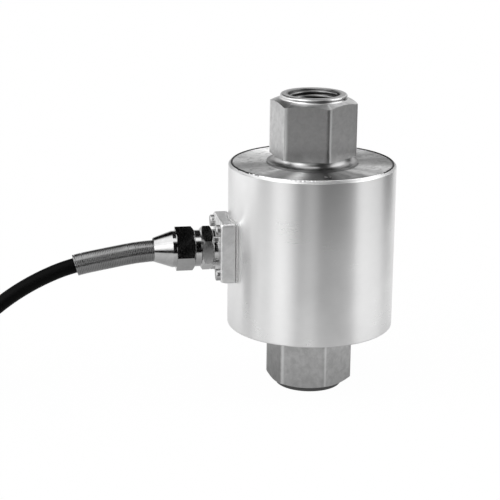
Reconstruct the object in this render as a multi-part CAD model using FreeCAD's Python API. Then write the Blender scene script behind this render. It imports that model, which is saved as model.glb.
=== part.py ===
import FreeCAD, Part
import math
import os

os.makedirs("parts", exist_ok=True)
Vector = FreeCAD.Vector

# A column load cell for tension and compression, in millimetres, +Z up.
# The origin is the centre of the lower end face. The cable gland points along -X.

# Load element
lower_end_length = 30.2
upper_end_length = 32.5
hex_across_flats = 36.0
hex_turn = 8.66
hex_corner_round = 2.3
thread_diameter = 24.0
thread_depth = 30.0
thread_mouth_chamfer = 0.25
drill_point_half_angle = 59.0
upper_collar_diameter = 31.0
upper_collar_height = 2.15
upper_hex_chamfer_angle = 21.0
lower_collar_diameter = 31.5
lower_collar_height = 1.7
lower_hex_chamfer_angle = 25.0
collar_edge_round = 1.1
collar_foot_round = 0.8
collar_round_share = 0.45
neck_diameter = 35.4
neck_length = 4.0
neck_foot_round = 2.8
shoulder_diameter = 42.6
shoulder_height = 1.0
flange_thickness = 6.0
column_diameter = 30.0
column_foot_round = 4.0
gauge_flat_distance = 23.0
gauge_flat_length = 34.0

# Housing
sleeve_diameter = 78.0
sleeve_length = 77.5
sleeve_wall = 4.0
sleeve_top_chamfer = 0.9
sleeve_bottom_round = 0.6
sleeve_rim_width = 1.5
cover_thickness = 4.0
cover_clearance = 0.05
vent_edge_distance = 5.9
vent_angle = -89.0
vent_head_diameter = 3.6
vent_head_height = 0.9
vent_thread_diameter = 2.5
screw_clearance = 0.05
screw_round_share = 0.25
slot_depth_share = 0.5

# Gland block and its screws
gland_height = 68.4
block_width = 25.2
block_height = 28.6
block_stand_out = 5.6
block_corner_round = 1.5
block_edge_chamfer = 0.6
block_foot_chamfer_rise = 1.0
block_foot_chamfer_reach = 3.2
block_back_chamfer = 0.9
gasket_thickness = 0.3
block_screw_spacing_y = 18.4
block_screw_spacing_z = 21.0
block_screw_diameter = 3.0
block_screw_head_diameter = 5.5
block_screw_head_height = 2.0
block_screw_turns = (20.0, 75.0, 140.0, 35.0)
slot_width = 0.8
slot_depth = 0.9
hole_clearance = 0.2

# Cable gland
gland_thread_diameter = 12.0
gland_thread_length = 7.0
gland_foot_diameter = 17.0
gland_foot_length = 2.3
body_hex_flats = 18.2
body_hex_length = 6.0
body_hex_turn = -28.4
throat_diameter = 17.0
throat_length = 2.5
nut_hex_flats = 17.8
nut_hex_length = 8.75
nut_hex_turn = -11.0
hex_edge_angle = 35.0
nut_thread_diameter = 14.0
nut_thread_length = 6.1
nut_band_diameter = 17.0
nut_band_length = 1.8
cone_length = 8.5
cone_tip_diameter = 11.2
fit_gap = 0.05
oring_section = 1.0
oring_side_gap = 0.1
gland_bore_diameter = 7.6
bush_diameter = 11.2
bush_length = 7.2
washer_thickness = 0.8

# Spring guard
guard_diameter = 10.0
guard_wire = 0.8
guard_groove_share = 0.3
guard_bore_sections = 13
guard_seat_depth = 3.0
guard_length = 39.6
guard_cable_gap = 0.15
guard_nose_gap = 0.3
guard_end_gap = 0.25

# Cable, its coil and its bare end
cable_diameter = 7.0
cable_grip = 3.0
cable_straight_run = 2.0
coil_middle_diameter = 79.0
coil_columns = 4
coil_layers = 3
coil_distance = 150.55
coil_middle_y = 20.0
coil_open_angle = 80.0
coil_open_from = 130.0
coil_edge_share = 0.4
tie_width = 4.0
tie_thickness = 0.8
tie_angles = (45.0, 225.0)
core_diameter = 1.3
core_count = 5
core_free_length = 30.0
core_offset_share = 0.6

# Inner parts
gauge_length = 10.0
gauge_width = 7.0
gauge_thickness = 0.2
board_sleeve_gap = 1.5
board_flange_gap = 1.0
board_width = 6.5
board_thickness = 1.6
spacer_diameter = 5.0
spacer_height = 4.0
board_screw_diameter = 2.0
board_screw_head_diameter = 3.8
board_screw_head_height = 1.3
board_screw_grip = 2.0
board_screw_count = 3
resistor_length = 3.2
resistor_width = 1.6
resistor_height = 0.6
resistor_angles = (68.0, 82.0, 96.0, 264.0, 278.0, 292.0)
lead_diameter = 0.8
lead_spacing = 4.0
lead_drop_shares = (0.4, 0.7)
gauge_turn = 45.0

# Heights worked out from the sizes above
sleeve_bottom = lower_end_length
sleeve_top = sleeve_bottom + sleeve_length
element_top = sleeve_top + upper_end_length
sleeve_radius = sleeve_diameter / 2
cover_diameter = sleeve_diameter - 2 * sleeve_rim_width
vent_radius = cover_diameter / 2 - vent_edge_distance
lower_flange_bottom = sleeve_bottom + cover_thickness
lower_flange_top = lower_flange_bottom + flange_thickness
upper_flange_top = sleeve_top - cover_thickness
upper_flange_bottom = upper_flange_top - flange_thickness
column_middle = (lower_flange_top + upper_flange_bottom) / 2
board_bottom = lower_flange_bottom + spacer_height
board_top = board_bottom + board_thickness
board_outer_radius = sleeve_radius - sleeve_wall - board_sleeve_gap
board_inner_radius = board_outer_radius - board_width
flange_diameter = 2 * (board_inner_radius - board_flange_gap)
board_middle_radius = (board_outer_radius + board_inner_radius) / 2

# Distances from the element's axis along the gland, which points along -X
block_back = sleeve_radius + gasket_thickness
block_face_distance = sleeve_radius + block_stand_out
body_hex_start = block_face_distance + gland_foot_length
body_hex_end = body_hex_start + body_hex_length
nut_start = body_hex_end + throat_length
nut_hex_end = nut_start + nut_hex_length
cone_start = nut_hex_end + nut_band_length
nose_end = cone_start + cone_length
thread_end = nut_start + nut_thread_length
bush_start = thread_end - washer_thickness - bush_length
cable_start = bush_start - cable_grip
guard_start = nose_end - guard_seat_depth

# Route of the free cable, as (distance beyond the nose, sideways along Y, height).
# Each point is a bend. The last one lies on the coil's outermost turn.
cable_route = (
    (cable_straight_run, 0.0, gland_height),
    (21.05, 0.0, 65.2),
    (38.55, 0.0, 62.1),
    (53.05, 0.0, 56.35),
    (66.55, 0.0, 48.6),
    (79.05, -1.0, 38.9),
    (90.05, -4.5, 27.1),
    (101.55, -10.5, 15.9),
    (115.05, -19.0, 7.6),
    (131.05, -26.7, 4.1),
    (147.05, -29.6, 4.2),
)
arc_share = 0.45


def write(name, shape):
    shape.exportStep("parts/" + name + ".step")


def turned(points):
    """A solid of revolution about Z from a closed outline of (radius, height) points."""
    corners = [Vector(radius, 0, height) for radius, height in points]
    outline = Part.makePolygon(corners + corners[:1])
    return Part.Face(outline).revolve(Vector(0, 0, 0), Vector(0, 0, 1), 360)


def rod(diameter, low, high):
    return Part.makeCylinder(diameter / 2, high - low, Vector(0, 0, low))


def ring(inner, outer, low, high):
    return rod(2 * outer, low, high).cut(rod(2 * inner, low, high))


def along_gland(shape):
    """Lays a shape made along +Z from the origin onto the gland's axis, with +Z towards -X."""
    laid = shape.copy()
    laid.rotate(Vector(0, 0, 0), Vector(0, 1, 0), -90)
    laid.translate(Vector(0, 0, gland_height))
    return laid


def hexagon(across_flats, length, turn):
    """A hexagonal bar along +Z from the origin. At turn 0 one flat faces +X."""
    corner_radius = across_flats / math.sqrt(3)
    corners = []
    for side in range(6):
        angle = math.radians(turn + 30 + 60 * side)
        corners.append(Vector(corner_radius * math.cos(angle), corner_radius * math.sin(angle), 0))
    outline = Part.makePolygon(corners + corners[:1])
    return Part.Face(outline).extrude(Vector(0, 0, length))


def lengthwise_edges(shape):
    """The edges that run along Z."""
    return [edge for edge in shape.Edges if abs(edge.tangentAt(edge.FirstParameter).z) > 0.99]


def circle_edges(shape, radius, height):
    """The full circles of this radius about Z at this height."""
    found = []
    for edge in shape.Edges:
        if not isinstance(edge.Curve, Part.Circle):
            continue
        if abs(edge.Curve.Radius - radius) < 0.001 and abs(edge.Curve.Center.z - height) < 0.001:
            found.append(edge)
    return found


def end_hexagon(length, collar_diameter, collar_height, chamfer_angle):
    """A hexagon end standing on the origin, with its turned chamfer and collar at the top."""
    bar = hexagon(hex_across_flats, length, hex_turn)
    bar = bar.makeFillet(hex_corner_round, lengthwise_edges(bar))
    outside = hex_across_flats
    collar_radius = collar_diameter / 2
    drop = (outside - collar_radius) * math.tan(math.radians(chamfer_angle))
    collar_foot = length - collar_height
    envelope = turned((
        (0, 0),
        (outside, 0),
        (outside, collar_foot - drop),
        (collar_radius, collar_foot),
        (collar_radius, length),
        (0, length),
    ))
    end = bar.common(envelope)
    top_edges = circle_edges(end, collar_radius, length)
    end = end.makeFillet(min(collar_edge_round, collar_height * collar_round_share), top_edges)
    foot_edges = circle_edges(end, collar_radius, collar_foot)
    return end.makeFillet(min(collar_foot_round, collar_height * collar_round_share), foot_edges)


def threaded_bore():
    """The space of a blind threaded hole that opens upwards at the origin."""
    radius = thread_diameter / 2
    point_depth = radius / math.tan(math.radians(drill_point_half_angle))
    return turned((
        (0, 0),
        (radius + thread_mouth_chamfer, 0),
        (radius, -thread_mouth_chamfer),
        (radius, -thread_depth),
        (0, -thread_depth - point_depth),
    ))


def shoulder_end(seat_height):
    """Flange, shoulder and neck of one end, from the flange's seat upwards, with a filleted foot."""
    flange_radius = flange_diameter / 2
    shoulder_radius = shoulder_diameter / 2
    neck_radius = neck_diameter / 2
    shoulder_top = seat_height + cover_thickness + shoulder_height
    neck_top = seat_height + cover_thickness + neck_length
    body = turned((
        (0, seat_height - flange_thickness),
        (flange_radius, seat_height - flange_thickness),
        (flange_radius, seat_height),
        (shoulder_radius, seat_height),
        (shoulder_radius, shoulder_top),
        (neck_radius, shoulder_top),
        (neck_radius, neck_top),
        (0, neck_top),
    ))
    body = body.makeFillet(neck_foot_round, circle_edges(body, neck_radius, shoulder_top))
    return body


def load_element():
    """The one-piece spring body: two hexagon ends, two shoulders and the gauged column."""
    upper = shoulder_end(upper_flange_top)
    upper_hex = end_hexagon(
        upper_end_length - neck_length,
        upper_collar_diameter,
        upper_collar_height,
        upper_hex_chamfer_angle,
    )
    upper_hex.translate(Vector(0, 0, sleeve_top + neck_length))
    lower = shoulder_end(0)
    lower.rotate(Vector(0, 0, 0), Vector(1, 0, 0), 180)
    lower.translate(Vector(0, 0, lower_flange_bottom))
    lower_hex = end_hexagon(
        lower_end_length - neck_length,
        lower_collar_diameter,
        lower_collar_height,
        lower_hex_chamfer_angle,
    )
    lower_hex.rotate(Vector(0, 0, 0), Vector(1, 0, 0), 180)
    lower_hex.rotate(Vector(0, 0, 0), Vector(0, 0, 1), 2 * hex_turn)
    lower_hex.translate(Vector(0, 0, lower_end_length - neck_length))
    column = Part.makeCylinder(
        column_diameter / 2,
        upper_flange_bottom - lower_flange_top,
        Vector(0, 0, lower_flange_top),
    )
    element = upper.fuse([column, lower, upper_hex, lower_hex]).removeSplitter()
    foot_edges = circle_edges(element, column_diameter / 2, lower_flange_top)
    foot_edges += circle_edges(element, column_diameter / 2, upper_flange_bottom)
    element = element.makeFillet(column_foot_round, foot_edges)
    for side in range(4):
        flat = Part.makeBox(
            column_diameter,
            column_diameter,
            gauge_flat_length,
            Vector(gauge_flat_distance / 2, -column_diameter / 2, column_middle - gauge_flat_length / 2),
        )
        flat.rotate(Vector(0, 0, 0), Vector(0, 0, 1), gauge_turn + 90 * side)
        element = element.cut(flat)
    upper_bore = threaded_bore()
    upper_bore.translate(Vector(0, 0, element_top))
    lower_bore = threaded_bore()
    lower_bore.rotate(Vector(0, 0, 0), Vector(1, 0, 0), 180)
    return element.cut(upper_bore).cut(lower_bore)


def block_screw_places():
    """Centres of the four block screws, as (across, height) from the gland's axis."""
    places = []
    for across in (-block_screw_spacing_y / 2, block_screw_spacing_y / 2):
        for rise in (-block_screw_spacing_z / 2, block_screw_spacing_z / 2):
            places.append((across, rise))
    return places


def block_screw_holes(radius):
    """Four rods along the gland's axis, from inside the sleeve to outside the block."""
    holes = []
    for across, rise in block_screw_places():
        hole = Part.makeCylinder(radius, block_face_distance, Vector(rise, across, 0))
        holes.append(along_gland(hole))
    return holes


def gland_hole(radius):
    return along_gland(Part.makeCylinder(radius, block_face_distance))


def housing_sleeve():
    inner = sleeve_radius - sleeve_wall
    sleeve = ring(inner, sleeve_radius, sleeve_bottom, sleeve_top)
    sleeve = sleeve.makeChamfer(sleeve_top_chamfer, circle_edges(sleeve, sleeve_radius, sleeve_top))
    sleeve = sleeve.makeFillet(sleeve_bottom_round, circle_edges(sleeve, sleeve_radius, sleeve_bottom))
    seat_radius = cover_diameter / 2 + cover_clearance
    for low in (sleeve_bottom, sleeve_top - cover_thickness):
        sleeve = sleeve.cut(Part.makeCylinder(seat_radius, cover_thickness, Vector(0, 0, low)))
    sleeve = sleeve.cut(gland_hole(gland_thread_diameter / 2 + hole_clearance))
    return sleeve.cut(block_screw_holes(block_screw_diameter / 2 + screw_clearance))


def cover(low):
    inner = shoulder_diameter / 2 + cover_clearance
    return ring(inner, cover_diameter / 2, low, low + cover_thickness)


def vent_place():
    angle = math.radians(vent_angle)
    return Vector(vent_radius * math.cos(angle), vent_radius * math.sin(angle), sleeve_top)


def slotted_screw(head_diameter, head_height, shank_diameter, shank_length, slot_turn):
    """A slotted cheese-head screw that points down, with the underside of its head at the origin."""
    head = Part.makeCylinder(head_diameter / 2, head_height)
    rim = circle_edges(head, head_diameter / 2, head_height)
    head = head.makeFillet(head_height * screw_round_share, rim)
    shank = Part.makeCylinder(shank_diameter / 2, shank_length, Vector(0, 0, -shank_length))
    depth = min(slot_depth, head_height * slot_depth_share)
    slot = Part.makeBox(
        head_diameter,
        slot_width,
        depth,
        Vector(-head_diameter / 2, -slot_width / 2, head_height - depth),
    )
    slot.rotate(Vector(0, 0, 0), Vector(0, 0, 1), slot_turn)
    return head.fuse(shank).cut(slot)


def top_cover():
    disc = cover(sleeve_top - cover_thickness)
    hole = Part.makeCylinder(
        vent_thread_diameter / 2 + screw_clearance,
        cover_thickness,
        vent_place() - Vector(0, 0, cover_thickness),
    )
    return disc.cut(hole)


def vent_screw():
    screw = slotted_screw(
        vent_head_diameter, vent_head_height, vent_thread_diameter, cover_thickness, vent_angle
    )
    screw.translate(vent_place())
    return screw


def board_screw_places():
    places = []
    for index in range(board_screw_count):
        angle = 2 * math.pi * index / board_screw_count
        places.append((board_middle_radius * math.cos(angle), board_middle_radius * math.sin(angle)))
    return places


def board_screw_hole(radius, low, high, place):
    return Part.makeCylinder(radius, high - low, Vector(place[0], place[1], low))


def bottom_cover():
    disc = cover(sleeve_bottom)
    radius = board_screw_diameter / 2 + screw_clearance
    low = lower_flange_bottom - board_screw_grip - hole_clearance
    for place in board_screw_places():
        disc = disc.cut(board_screw_hole(radius, low, lower_flange_bottom, place))
    return disc


def board_spacers():
    radius = board_screw_diameter / 2 + hole_clearance
    spacers = []
    for place in board_screw_places():
        post = board_screw_hole(spacer_diameter / 2, lower_flange_bottom, board_bottom, place)
        spacers.append(post.cut(board_screw_hole(radius, lower_flange_bottom, board_bottom, place)))
    return Part.makeCompound(spacers)


def bridge_board():
    board = ring(board_inner_radius, board_outer_radius, board_bottom, board_top)
    radius = board_screw_diameter / 2 + hole_clearance
    for place in board_screw_places():
        board = board.cut(board_screw_hole(radius, board_bottom, board_top, place))
    return board


def board_screws():
    length = board_thickness + spacer_height + board_screw_grip
    screws = []
    for place in board_screw_places():
        screw = slotted_screw(
            board_screw_head_diameter, board_screw_head_height, board_screw_diameter, length, 0
        )
        screw.translate(Vector(place[0], place[1], board_top))
        screws.append(screw)
    return Part.makeCompound(screws)


def trim_resistors():
    resistors = []
    for angle in resistor_angles:
        chip = Part.makeBox(
            resistor_length,
            resistor_width,
            resistor_height,
            Vector(board_middle_radius - resistor_length / 2, -resistor_width / 2, board_top),
        )
        chip.rotate(Vector(0, 0, 0), Vector(0, 0, 1), angle)
        resistors.append(chip)
    return Part.makeCompound(resistors)


def strain_gauges():
    gauges = []
    for side in range(4):
        foil = Part.makeBox(
            gauge_thickness,
            gauge_width,
            gauge_length,
            Vector(gauge_flat_distance / 2, -gauge_width / 2, column_middle - gauge_length / 2),
        )
        foil.rotate(Vector(0, 0, 0), Vector(0, 0, 1), gauge_turn + 90 * side)
        gauges.append(foil)
    return Part.makeCompound(gauges)


def bent_path(points):
    """Straight runs joined by arcs, each as large as its two runs allow, and the arcs' radii."""
    edges = []
    radii = []
    start = points[0]
    for index in range(1, len(points) - 1):
        corner = points[index]
        back = points[index - 1] - corner
        ahead = points[index + 1] - corner
        tangent = arc_share * min(back.Length, ahead.Length)
        into = corner + back.normalize() * tangent
        out = corner + ahead.normalize() * tangent
        half_opening = back.getAngle(ahead) / 2
        radius = tangent * math.tan(half_opening)
        bisector = (back + ahead).normalize()
        middle = corner + bisector * (radius / math.sin(half_opening) - radius)
        edges.append(Part.LineSegment(start, into).toShape())
        edges.append(Part.Arc(into, middle, out).toShape())
        radii.append(radius)
        start = out
    edges.append(Part.LineSegment(start, points[-1]).toShape())
    return Part.Wire(edges), radii


def bent_rod(points, diameter):
    """A round rod along a bent path, with the volume that its section and length give."""
    path, radii = bent_path(points)
    first = points[1] - points[0]
    section = Part.Wire(Part.Circle(points[0], first, diameter / 2).toShape())
    swept = path.makePipeShell([section], True, False)
    expected = math.pi * diameter ** 2 / 4 * path.Length
    return swept, radii, swept.Volume / expected


def gauge_leads():
    """Two wires from each gauge, over the lower flange and down to the board."""
    reach = gauge_flat_distance / 2 + lead_diameter
    gauge_foot = column_middle - gauge_length / 2
    drop = gauge_foot - board_top
    middle = (reach + board_middle_radius) / 2
    first_drop, second_drop = [drop * share for share in lead_drop_shares]
    leads = []
    for side in range(4):
        for across in (-lead_spacing / 2, lead_spacing / 2):
            points = (
                Vector(reach, across, gauge_foot),
                Vector(middle, across, gauge_foot - first_drop),
                Vector(board_middle_radius, across, gauge_foot - second_drop),
                Vector(board_middle_radius, across, board_top),
            )
            lead = bent_rod(points, lead_diameter)[0]
            lead.rotate(Vector(0, 0, 0), Vector(0, 0, 1), gauge_turn + 90 * side)
            leads.append(lead)
    return Part.makeCompound(leads)


def core_leads():
    """Four cores from the cable's inner end, through the gland's bore and down to the board."""
    offset = core_offset_share * core_diameter
    leads = []
    for across in (-offset, offset):
        for lift in (-offset, offset):
            fall = -board_middle_radius + lift
            points = (
                Vector(-cable_start, across, gland_height + lift),
                Vector(fall, across, gland_height + lift),
                Vector(fall, across, board_top),
            )
            leads.append(bent_rod(points, core_diameter)[0])
    return Part.makeCompound(leads)


def block_foot_chamfer():
    """The wedge that bevels the lower front edge of the block, before it is laid on the gland's axis."""
    low = -block_height / 2
    corners = (
        Vector(low, -block_width, block_face_distance),
        Vector(low + block_foot_chamfer_rise, -block_width, block_face_distance),
        Vector(low, -block_width, block_face_distance - block_foot_chamfer_reach),
    )
    outline = Part.makePolygon(corners + corners[:1])
    return Part.Face(outline).extrude(Vector(0, 2 * block_width, 0))


def gland_block():
    """A rectangular block with rounded corners, hollowed at the back to sit on the sleeve."""
    block = Part.makeBox(
        block_height, block_width, block_face_distance, Vector(-block_height / 2, -block_width / 2, 0)
    )
    block = block.makeFillet(block_corner_round, lengthwise_edges(block))
    front = [
        edge for edge in block.Edges
        if all(abs(vertex.Point.z - block_face_distance) < 0.001 for vertex in edge.Vertexes)
    ]
    block = block.makeChamfer(block_edge_chamfer, front).cut(block_foot_chamfer())
    block = along_gland(block).cut(Part.makeCylinder(block_back, element_top))
    back = [
        edge for edge in lengthwise_edges(block)
        if abs(math.hypot(edge.CenterOfMass.x, edge.CenterOfMass.y) - block_back) < 0.001
    ]
    block = block.makeChamfer(block_back_chamfer, back)
    block = block.cut(gland_hole(gland_thread_diameter / 2 + fit_gap))
    return block.cut(block_screw_holes(block_screw_diameter / 2 + hole_clearance))


def block_gasket():
    sheet = Part.makeBox(
        block_height, block_width, block_face_distance, Vector(-block_height / 2, -block_width / 2, 0)
    )
    sheet = along_gland(sheet.makeFillet(block_corner_round, lengthwise_edges(sheet)))
    sheet = sheet.common(ring(sleeve_radius, block_back, 0, element_top))
    sheet = sheet.cut(gland_hole(gland_thread_diameter / 2 + hole_clearance))
    return sheet.cut(block_screw_holes(block_screw_diameter / 2 + hole_clearance))


def block_screws():
    length = block_face_distance - sleeve_radius + sleeve_wall
    screws = []
    for (across, rise), turn in zip(block_screw_places(), block_screw_turns):
        screw = slotted_screw(
            block_screw_head_diameter, block_screw_head_height, block_screw_diameter, length, turn
        )
        screw.translate(Vector(rise, across, block_face_distance))
        screws.append(along_gland(screw))
    return Part.makeCompound(screws)


def edged_hexagon(across_flats, low, high, turn, foot_radius):
    """A hexagon of the gland, turned to a cone at its lower end, which starts at foot_radius."""
    bar = hexagon(across_flats, high - low, turn)
    bar.translate(Vector(0, 0, low))
    outside = across_flats
    rise = (outside - foot_radius) * math.tan(math.radians(hex_edge_angle))
    envelope = turned((
        (0, low),
        (foot_radius, low),
        (outside, low + rise),
        (outside, high + rise),
        (0, high + rise),
    ))
    return bar.common(envelope)


def head_cone(across_flats, low, high, head_radius):
    """The turned envelope that bevels the upper end of a hexagon down to head_radius."""
    outside = across_flats
    corner_radius = across_flats / math.sqrt(3)
    slope = math.tan(math.radians(hex_edge_angle))
    return turned((
        (0, low),
        (outside, low),
        (outside, high - (corner_radius - head_radius) * slope),
        (corner_radius, high - (corner_radius - head_radius) * slope),
        (head_radius, high),
        (0, high),
    ))


def gland_body():
    foot_radius = gland_foot_diameter / 2
    spigot_end = block_face_distance - gland_thread_length
    foot = rod(gland_foot_diameter, block_face_distance, body_hex_start)
    spigot = rod(gland_thread_diameter, spigot_end, block_face_distance)
    bar = edged_hexagon(body_hex_flats, body_hex_start, body_hex_end, body_hex_turn, foot_radius)
    bar = bar.common(head_cone(body_hex_flats, body_hex_start, body_hex_end, throat_diameter / 2))
    throat = rod(throat_diameter, body_hex_end, nut_start)
    tube = rod(nut_thread_diameter, nut_start, thread_end)
    body = foot.fuse([spigot, bar, throat, tube]).removeSplitter()
    body = body.cut(rod(gland_bore_diameter, spigot_end, thread_end))
    body = body.cut(rod(bush_diameter, bush_start, thread_end))
    inner = gland_thread_diameter / 2 + oring_side_gap
    outer = inner + oring_section + oring_side_gap
    groove = ring(inner, outer, block_face_distance, block_face_distance + oring_section)
    return along_gland(body.cut(groove))


def gland_oring():
    inner = gland_thread_diameter / 2 + oring_side_gap
    radius = inner + (oring_section + oring_side_gap) / 2
    seal = Part.makeTorus(radius, oring_section / 2)
    seal.translate(Vector(0, 0, block_face_distance + oring_section / 2))
    return along_gland(seal)


def gland_bush():
    return along_gland(ring(cable_diameter / 2, bush_diameter / 2, bush_start, bush_start + bush_length))


def bush_washer():
    low = bush_start + bush_length
    return along_gland(ring(gland_bore_diameter / 2, bush_diameter / 2, low, low + washer_thickness))


def gland_nut():
    """Hexagon nut, band and cone nose, turned from one bar, with the guard's seat in the nose."""
    throat_radius = throat_diameter / 2
    band_radius = nut_band_diameter / 2
    bar = edged_hexagon(nut_hex_flats, nut_start, nut_hex_end, nut_hex_turn, throat_radius)
    nose = turned((
        (0, nut_hex_end),
        (band_radius, nut_hex_end),
        (band_radius, cone_start),
        (cone_tip_diameter / 2, nose_end),
        (0, nose_end),
    ))
    nut = bar.fuse(nose)
    nut = nut.cut(rod(nut_thread_diameter + 2 * fit_gap, nut_start, thread_end))
    nut = nut.cut(rod(gland_bore_diameter, nut_start, nose_end))
    nut = nut.cut(rod(guard_diameter + 2 * guard_nose_gap, guard_start - guard_end_gap, nose_end))
    return along_gland(nut)


def route_points():
    start = Vector(-cable_start, 0, gland_height)
    return [start] + [Vector(-nose_end - beyond, side, height) for beyond, side, height in cable_route]


def point_on(path, distance):
    """The point and the direction at this distance along a wire."""
    for edge in path.OrderedEdges:
        if distance <= edge.Length:
            place = edge.getParameterByLength(distance)
            return edge.valueAt(place), edge.tangentAt(place)
        distance -= edge.Length
    return path.OrderedEdges[-1].valueAt(place), path.OrderedEdges[-1].tangentAt(place)


def guard_bore(path, start):
    """The guard's bore, through circles set across the cable's path."""
    radius = cable_diameter / 2 + guard_cable_gap
    last = guard_bore_sections - 1
    sections = []
    for step in range(guard_bore_sections):
        place, direction = point_on(path, start + guard_length * step / last)
        sections.append(Part.Wire(Part.Circle(place, direction, radius).toShape()))
    return Part.makeLoft(sections, True, True)


def spring_guard():
    """Close-wound turns along the cable's path, each turn one ridge of the wire's height."""
    path = bent_path(route_points())[0]
    start = guard_start - cable_start
    crest = guard_diameter / 2
    groove = crest - guard_wire * guard_groove_share
    turns = round(guard_length / guard_wire)
    sections = []
    for step in range(2 * turns + 1):
        place, direction = point_on(path, start + guard_length * step / (2 * turns))
        radius = crest if step % 2 else groove
        sections.append(Part.Wire(Part.Circle(place, direction, radius).toShape()))
    outside = Part.makeLoft(sections, True, True)
    return outside.cut(guard_bore(path, start))


def coil_outline():
    """Half section of the wound coil, as inner and outer radius and the two heights."""
    middle = coil_middle_diameter / 2
    half_width = coil_columns * cable_diameter / 2
    height = tie_thickness + coil_layers * cable_diameter
    return middle - half_width, middle + half_width, height


def coil_centre():
    return Vector(-nose_end - coil_distance, coil_middle_y, 0)


def place_coil(shape):
    moved = shape.copy()
    moved.translate(coil_centre())
    return moved


def coil_body():
    """The wound coil's outer shape, with its top inner turn left open for the bare cores."""
    inner, outer, height = coil_outline()
    body = ring(inner, outer, 0, height)
    edge_round = cable_diameter * coil_edge_share
    rims = circle_edges(body, inner, 0) + circle_edges(body, outer, 0)
    rims += circle_edges(body, outer, height)
    body = body.makeFillet(edge_round, rims)
    ledge = Part.makeCylinder(
        inner + cable_diameter,
        cable_diameter,
        Vector(0, 0, height - cable_diameter),
        Vector(0, 0, 1),
        coil_open_angle,
    )
    ledge.rotate(Vector(0, 0, 0), Vector(0, 0, 1), coil_open_from)
    return body.cut(ledge)


def tie_band():
    """One band round the coil's section, on its +X side."""
    inner, outer, height = coil_outline()
    width = outer - inner
    outside = Part.makeBox(width + 2 * tie_thickness, tie_width, height + tie_thickness)
    inside = Part.makeBox(width, tie_width, height - tie_thickness)
    inside.translate(Vector(tie_thickness, 0, tie_thickness))
    band = outside.cut(inside)
    band.translate(Vector(inner - tie_thickness, -tie_width / 2, 0))
    return band


def coil_ties():
    bands = []
    for angle in tie_angles:
        band = tie_band()
        band.rotate(Vector(0, 0, 0), Vector(0, 0, 1), angle)
        bands.append(band)
    return place_coil(Part.makeCompound(bands))


def cable_coil():
    body = place_coil(coil_body())
    return body.cut(coil_ties())


def core_ends():
    """The bare cores at the cable's end, side by side in the coil's open top turn."""
    inner, outer, height = coil_outline()
    ledge = height - cable_diameter
    sweep = math.degrees(core_free_length / (inner + cable_diameter / 2))
    cores = []
    for index in range(core_count):
        radius = inner + cable_diameter * (index + 0.5) / core_count
        core = Part.makeTorus(
            radius, core_diameter / 2, Vector(0, 0, 0), Vector(0, 0, 1), -180, 180, sweep
        )
        core.rotate(Vector(0, 0, 0), Vector(0, 0, 1), coil_open_from + coil_open_angle - sweep)
        core.translate(Vector(0, 0, ledge + core_diameter / 2))
        cores.append(core)
    return place_coil(Part.makeCompound(cores))


def cable():
    tube, radii, share = bent_rod(route_points(), cable_diameter)
    print("cable arc radii", [round(radius, 1) for radius in radii])
    print("cable tube, volume over section times length", round(share, 4))
    return tube.cut(cable_coil())


sub_parts = (
    load_element,
    housing_sleeve,
    top_cover,
    bottom_cover,
    vent_screw,
    gland_block,
    block_gasket,
    block_screws,
    gland_body,
    gland_oring,
    gland_bush,
    bush_washer,
    gland_nut,
    spring_guard,
    cable,
    cable_coil,
    coil_ties,
    core_ends,
    strain_gauges,
    bridge_board,
    board_spacers,
    board_screws,
    trim_resistors,
    gauge_leads,
    core_leads,
)
for sub_part in sub_parts:
    write(sub_part.__name__, sub_part())
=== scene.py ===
import math

import bmesh
import bpy
from mathutils import Euler, Matrix, Vector


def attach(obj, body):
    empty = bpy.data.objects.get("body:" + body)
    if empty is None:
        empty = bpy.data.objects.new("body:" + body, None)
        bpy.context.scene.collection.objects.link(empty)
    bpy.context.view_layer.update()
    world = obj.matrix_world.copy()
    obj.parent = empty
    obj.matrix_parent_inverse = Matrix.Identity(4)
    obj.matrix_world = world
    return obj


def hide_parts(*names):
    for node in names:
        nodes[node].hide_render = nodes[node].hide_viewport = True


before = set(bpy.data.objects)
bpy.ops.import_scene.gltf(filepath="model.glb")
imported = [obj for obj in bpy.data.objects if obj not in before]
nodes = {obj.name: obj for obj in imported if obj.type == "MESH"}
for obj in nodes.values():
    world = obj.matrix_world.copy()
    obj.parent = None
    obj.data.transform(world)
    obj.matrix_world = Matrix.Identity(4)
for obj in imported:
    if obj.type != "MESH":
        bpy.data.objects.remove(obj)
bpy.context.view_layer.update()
scene = bpy.context.scene
mm = 0.001
print("frame loaded:", len(nodes), "nodes")

# A column load cell with a hexagon on each end, a side cable gland with a spring guard,
# and its free cable. Sizes in the dictionaries are in millimetres and angles in degrees.

cameraSettings = {
    "place": (-155.61, -728.31, 281.87),
    "looksAt": (-32.24, -18.91, 72.03),
    "roll": 0.603,
    "lens": 118.45,
    "sensorWidth": 36.0,
    "clipFrom": 10.0,
}


def makeCamera(settings):
    place = Vector(settings["place"]) * mm
    target = Vector(settings["looksAt"]) * mm
    data = bpy.data.cameras.new("photoCamera")
    data.lens = settings["lens"]
    data.sensor_width = settings["sensorWidth"]
    data.clip_start = settings["clipFrom"] * mm
    camera = bpy.data.objects.new("photoCamera", data)
    turn = (target - place).to_track_quat("-Z", "Y").to_matrix()
    roll = Matrix.Rotation(math.radians(settings["roll"]), 3, "Z")
    camera.matrix_world = Matrix.Translation(place) @ (turn @ roll).to_4x4()
    scene.collection.objects.link(camera)
    scene.camera = camera


makeCamera(cameraSettings)
print("camera set")


# Small tools for meshes, Geometry Nodes and shaders

def linkObject(name, data, smooth=True):
    made = bpy.data.objects.new(name, data)
    scene.collection.objects.link(made)
    if smooth and isinstance(data, bpy.types.Mesh):
        data.shade_smooth()
    return made


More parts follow.
